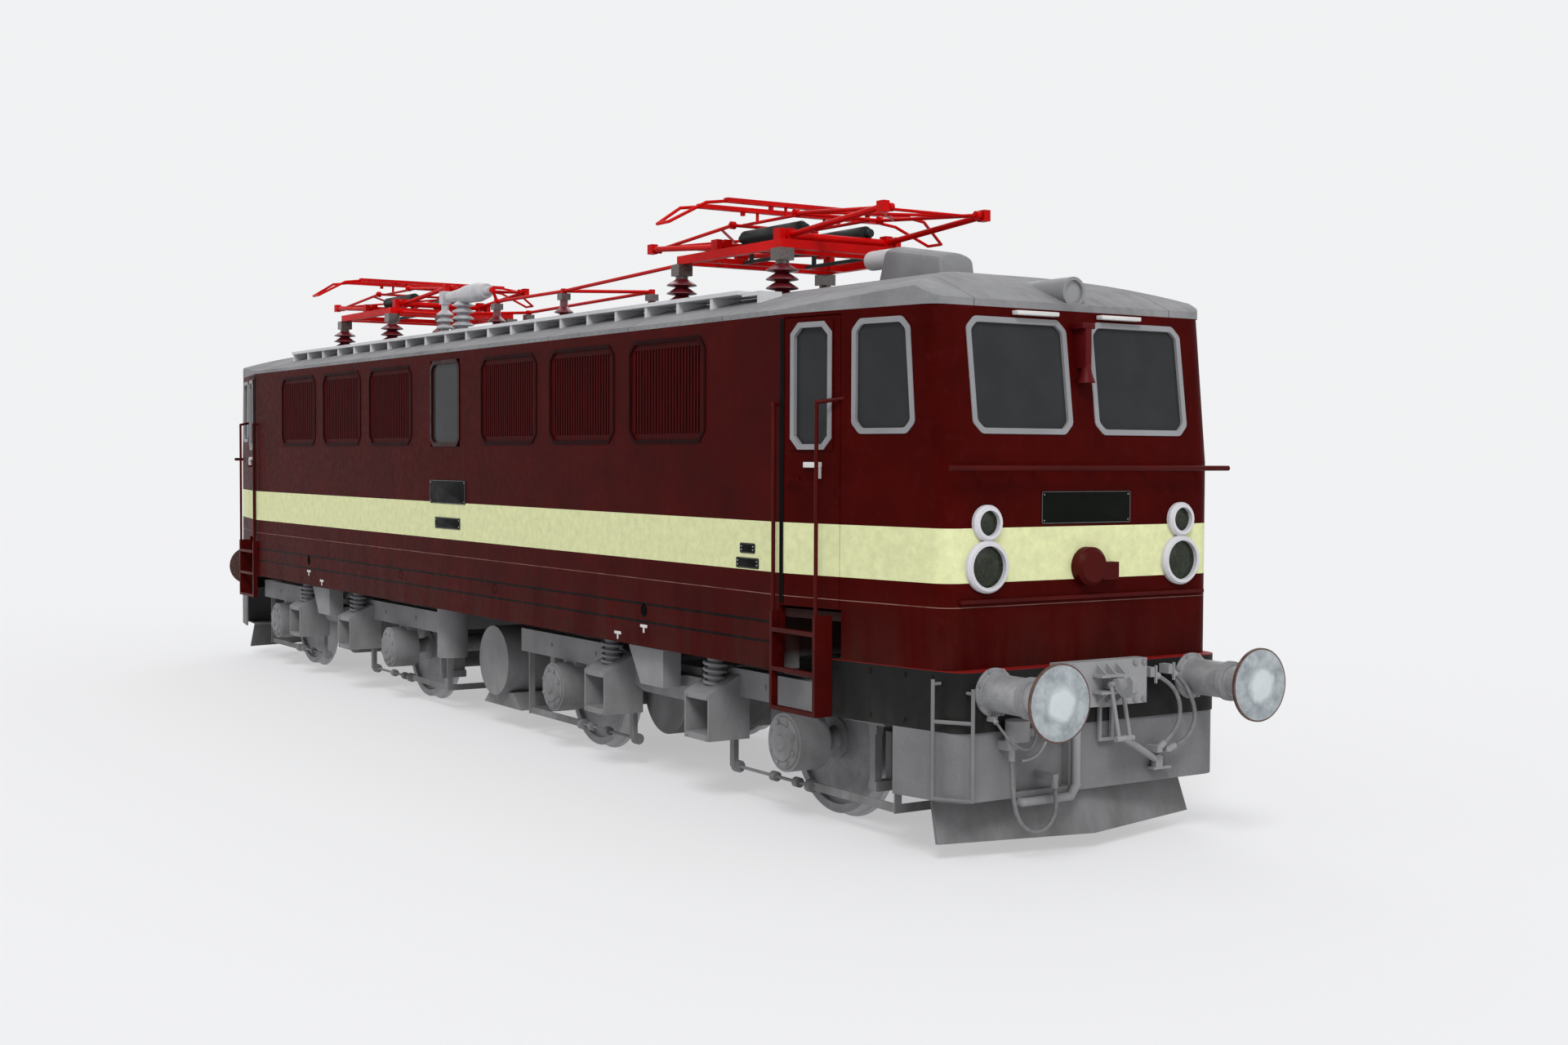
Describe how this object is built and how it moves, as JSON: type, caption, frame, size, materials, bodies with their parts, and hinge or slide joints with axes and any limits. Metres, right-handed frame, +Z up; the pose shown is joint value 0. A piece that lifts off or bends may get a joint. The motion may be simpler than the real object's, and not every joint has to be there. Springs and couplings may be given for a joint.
{
  "type": "electric locomotive",
  "caption": "Four-axle electric locomotive, dark red with a cream stripe: two cabs, louvred sides, swivelling bogies, opening cab doors and folding roof pantographs.",
  "frame": {"origin": "middle of the locomotive in plan, at the level of the wheel flange tips", "axes": "+X towards the front cab, +Y to its left, +Z up"},
  "size_m": [16.26, 3.016, 4.6178],
  "materials": {
    "apron_grey": "matt grey paint",
    "band_black": "satin black paint",
    "bar_red": "bright red paint",
    "body_red": "satin dark red paint with a cream stripe",
    "buffer_metal": "greased bare metal",
    "ceramic_red": "glazed dark red",
    "ceramic_white": "glazed white",
    "fittings": "matt dark",
    "frame_grey": "satin grey paint",
    "gear_grey": "matt grey paint",
    "glass": "dark tinted glass",
    "hose_rubber": "matt",
    "inside_grey": "matt grey-green paint",
    "lamp_glass": "dark lens",
    "lamp_ring": "satin light grey",
    "louvre_red": "satin dark red paint",
    "machine_grey": "matt",
    "panto_red": "bright red paint",
    "rail_red": "satin dark red paint",
    "roof_grey": "matt grey paint",
    "spring_grey": "satin dark grey paint",
    "wheel_steel": "grey cast steel"
  },
  "bodies": {
    "car_body": {"brake_hoses": "hose_rubber", "buffers": "buffer_metal", "bulkheads": "inside_grey", "bus_bars": "bar_red", "cab_fittings": "fittings", "cab_shell_front": "body_red", "cab_shell_rear": "body_red", "circuit_breaker": "ceramic_white", "corner_steps": "apron_grey", "draw_gear": "gear_grey", "end_aprons": "apron_grey", "end_bands": "band_black", "entry_ladders": "rail_red", "handrails": "rail_red", "hose_fittings": "gear_grey", "lamp_lenses": "lamp_glass", "lamp_rings": "lamp_ring", "louvres": "louvre_red", "pantograph_bases": "panto_red", "pantograph_springs": "spring_grey", "roof_hoods": "roof_grey", "roof_insulators": "ceramic_red", "roof_skin": "roof_grey", "roof_walkways": "roof_grey", "side_wall_left": "body_red", "side_wall_right": "body_red", "transformer_block": "machine_grey", "underfloor_tanks": "gear_grey", "underframe": "gear_grey", "window_frames": "frame_grey", "window_glass": "glass"},
    "bogie_front": {"bogie_frame_front": "gear_grey", "bogie_gear_front": "gear_grey", "motors_front": "gear_grey"},
    "bogie_rear": {"bogie_frame_rear": "gear_grey", "bogie_gear_rear": "gear_grey", "motors_rear": "gear_grey"},
    "wheelset_1": {"wheelset_1": "wheel_steel"},
    "wheelset_2": {"wheelset_2": "wheel_steel"},
    "wheelset_3": {"wheelset_3": "wheel_steel"},
    "wheelset_4": {"wheelset_4": "wheel_steel"},
    "door_front_right": {"door_front_right": "body_red", "door_glass_front_right": "glass"},
    "door_front_left": {"door_front_left": "body_red", "door_glass_front_left": "glass"},
    "door_rear_right": {"door_rear_right": "body_red", "door_glass_rear_right": "glass"},
    "door_rear_left": {"door_rear_left": "body_red", "door_glass_rear_left": "glass"},
    "lower_arm_front_a": {"lower_arm_front_a": "panto_red"},
    "upper_arm_front_a": {"upper_arm_front_a": "panto_red"},
    "lower_arm_front_b": {"lower_arm_front_b": "panto_red"},
    "upper_arm_front_b": {"upper_arm_front_b": "panto_red"},
    "pan_head_front": {"pan_head_front": "panto_red"},
    "lower_arm_rear_a": {"lower_arm_rear_a": "panto_red"},
    "upper_arm_rear_a": {"upper_arm_rear_a": "panto_red"},
    "lower_arm_rear_b": {"lower_arm_rear_b": "panto_red"},
    "upper_arm_rear_b": {"upper_arm_rear_b": "panto_red"},
    "pan_head_rear": {"pan_head_rear": "panto_red"}
  },
  "joints": [
    {"name": "bogie_front_swivel", "type": "hinge", "parent": "car_body", "child": "bogie_front", "pos_m": [3.8, 0, 0.82], "axis": [0, 0, 1], "range_deg": [-2.5, 2.5]},
    {"name": "bogie_rear_swivel", "type": "hinge", "parent": "car_body", "child": "bogie_rear", "pos_m": [-3.8, 0, 0.82], "axis": [0, 0, 1], "range_deg": [-2.5, 2.5]},
    {"name": "wheelset_1_turn", "type": "hinge", "parent": "bogie_front", "child": "wheelset_1", "pos_m": [5.65, 0, 0.578], "axis": [0, 1, 0], "continuous": true},
    {"name": "wheelset_2_turn", "type": "hinge", "parent": "bogie_front", "child": "wheelset_2", "pos_m": [1.95, 0, 0.578], "axis": [0, 1, 0], "continuous": true},
    {"name": "wheelset_3_turn", "type": "hinge", "parent": "bogie_rear", "child": "wheelset_3", "pos_m": [-1.95, 0, 0.578], "axis": [0, 1, 0], "continuous": true},
    {"name": "wheelset_4_turn", "type": "hinge", "parent": "bogie_rear", "child": "wheelset_4", "pos_m": [-5.65, 0, 0.578], "axis": [0, 1, 0], "continuous": true},
    {"name": "door_front_right_swing", "type": "hinge", "parent": "car_body", "child": "door_front_right", "pos_m": [6.42638, -1.29627, 2.567], "axis": [0, 0, -1], "range_deg": [0, 80]},
    {"name": "door_front_left_swing", "type": "hinge", "parent": "car_body", "child": "door_front_left", "pos_m": [6.42638, 1.29627, 2.567], "axis": [0, 0, 1], "range_deg": [0, 80]},
    {"name": "door_rear_right_swing", "type": "hinge", "parent": "car_body", "child": "door_rear_right", "pos_m": [-6.42638, -1.29627, 2.567], "axis": [0, 0, 1], "range_deg": [0, 80]},
    {"name": "door_rear_left_swing", "type": "hinge", "parent": "car_body", "child": "door_rear_left", "pos_m": [-6.42638, 1.29627, 2.567], "axis": [0, 0, -1], "range_deg": [0, 80]},
    {"name": "panto_front_lift", "type": "hinge", "parent": "car_body", "child": "lower_arm_front_a", "pos_m": [4.47, 0, 4.328], "axis": [0, -1, 0], "range_deg": [0, 46]},
    {"name": "panto_front_lower_b", "type": "hinge", "parent": "car_body", "child": "lower_arm_front_b", "pos_m": [3.53, 0, 4.328], "axis": [0, 1, 0], "range_deg": [0, 46]},
    {"name": "panto_front_upper_a", "type": "hinge", "parent": "lower_arm_front_a", "child": "upper_arm_front_a", "pos_m": [5.705, 0, 4.418], "axis": [0, 1, 0], "range_deg": [0, 92]},
    {"name": "panto_front_upper_b", "type": "hinge", "parent": "lower_arm_front_b", "child": "upper_arm_front_b", "pos_m": [2.295, 0, 4.418], "axis": [0, -1, 0], "range_deg": [0, 92]},
    {"name": "panto_front_head", "type": "hinge", "parent": "upper_arm_front_a", "child": "pan_head_front", "pos_m": [4.47, 0, 4.508], "axis": [0, -1, 0], "range_deg": [0, 46]},
    {"name": "panto_rear_lift", "type": "hinge", "parent": "car_body", "child": "lower_arm_rear_a", "pos_m": [-3.53, 0, 4.328], "axis": [0, -1, 0], "range_deg": [0, 46]},
    {"name": "panto_rear_lower_b", "type": "hinge", "parent": "car_body", "child": "lower_arm_rear_b", "pos_m": [-4.47, 0, 4.328], "axis": [0, 1, 0], "range_deg": [0, 46]},
    {"name": "panto_rear_upper_a", "type": "hinge", "parent": "lower_arm_rear_a", "child": "upper_arm_rear_a", "pos_m": [-2.295, 0, 4.418], "axis": [0, 1, 0], "range_deg": [0, 92]},
    {"name": "panto_rear_upper_b", "type": "hinge", "parent": "lower_arm_rear_b", "child": "upper_arm_rear_b", "pos_m": [-5.705, 0, 4.418], "axis": [0, -1, 0], "range_deg": [0, 92]},
    {"name": "panto_rear_head", "type": "hinge", "parent": "upper_arm_rear_a", "child": "pan_head_rear", "pos_m": [-3.53, 0, 4.508], "axis": [0, -1, 0], "range_deg": [0, 46]}
  ],
  "couplings": [
    {"joint": "panto_front_lower_b", "follows": "panto_front_lift", "ratio": 1},
    {"joint": "panto_front_upper_a", "follows": "panto_front_lift", "ratio": 2},
    {"joint": "panto_front_upper_b", "follows": "panto_front_lift", "ratio": 2},
    {"joint": "panto_front_head", "follows": "panto_front_lift", "ratio": 1},
    {"joint": "panto_rear_lower_b", "follows": "panto_rear_lift", "ratio": 1},
    {"joint": "panto_rear_upper_a", "follows": "panto_rear_lift", "ratio": 2},
    {"joint": "panto_rear_upper_b", "follows": "panto_rear_lift", "ratio": 2},
    {"joint": "panto_rear_head", "follows": "panto_rear_lift", "ratio": 1}
  ]
}
